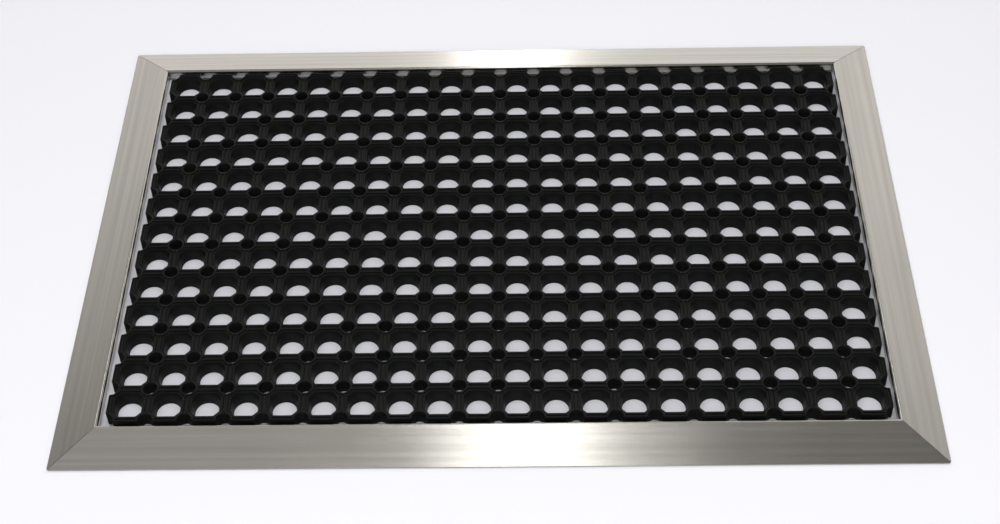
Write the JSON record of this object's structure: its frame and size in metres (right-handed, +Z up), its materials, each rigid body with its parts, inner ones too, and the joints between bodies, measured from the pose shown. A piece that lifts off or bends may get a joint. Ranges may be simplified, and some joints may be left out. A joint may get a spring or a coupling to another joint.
{
  "type": "door mat",
  "caption": "Rubber ring mat with open octagonal cells, lying loose in a mitred ramp frame of folded stainless steel.",
  "frame": {"origin": "on the floor at the middle of the frame's outline", "axes": "+X along the long side, +Y towards the back, +Z up"},
  "size_m": [0.68, 0.47, 0.0125],
  "materials": {
    "mat_rubber": "black moulded rubber, matte with soft highlights on the edges",
    "brushed_stainless": "stainless sheet brushed along each ramp",
    "strip_rubber": "dark grey matte rubber",
    "bracket_steel": "plain zinc-plated sheet",
    "rivet_aluminium": "satin"
  },
  "bodies": {
    "frame": {"ramp_front": "brushed_stainless", "ramp_right": "brushed_stainless", "ramp_back": "brushed_stainless", "ramp_left": "brushed_stainless", "grip_strip_front": "strip_rubber", "grip_strip_right": "strip_rubber", "grip_strip_back": "strip_rubber", "grip_strip_left": "strip_rubber", "corner_bracket_front_left": "bracket_steel", "corner_bracket_front_right": "bracket_steel", "corner_bracket_back_left": "bracket_steel", "corner_bracket_back_right": "bracket_steel", "rivet_front_left_1": "rivet_aluminium", "rivet_front_left_2": "rivet_aluminium", "rivet_front_left_3": "rivet_aluminium", "rivet_front_left_4": "rivet_aluminium", "rivet_front_right_1": "rivet_aluminium", "rivet_front_right_2": "rivet_aluminium", "rivet_front_right_3": "rivet_aluminium", "rivet_front_right_4": "rivet_aluminium", "rivet_back_left_1": "rivet_aluminium", "rivet_back_left_2": "rivet_aluminium", "rivet_back_left_3": "rivet_aluminium", "rivet_back_left_4": "rivet_aluminium", "rivet_back_right_1": "rivet_aluminium", "rivet_back_right_2": "rivet_aluminium", "rivet_back_right_3": "rivet_aluminium", "rivet_back_right_4": "rivet_aluminium"},
    "mat": {"rubber_mat": "mat_rubber"}
  },
  "joints": [
    {"name": "mat_lift", "type": "slide", "parent": "frame", "child": "mat", "axis": [0, 0, 1], "range_m": [0, 0.1]}
  ]
}
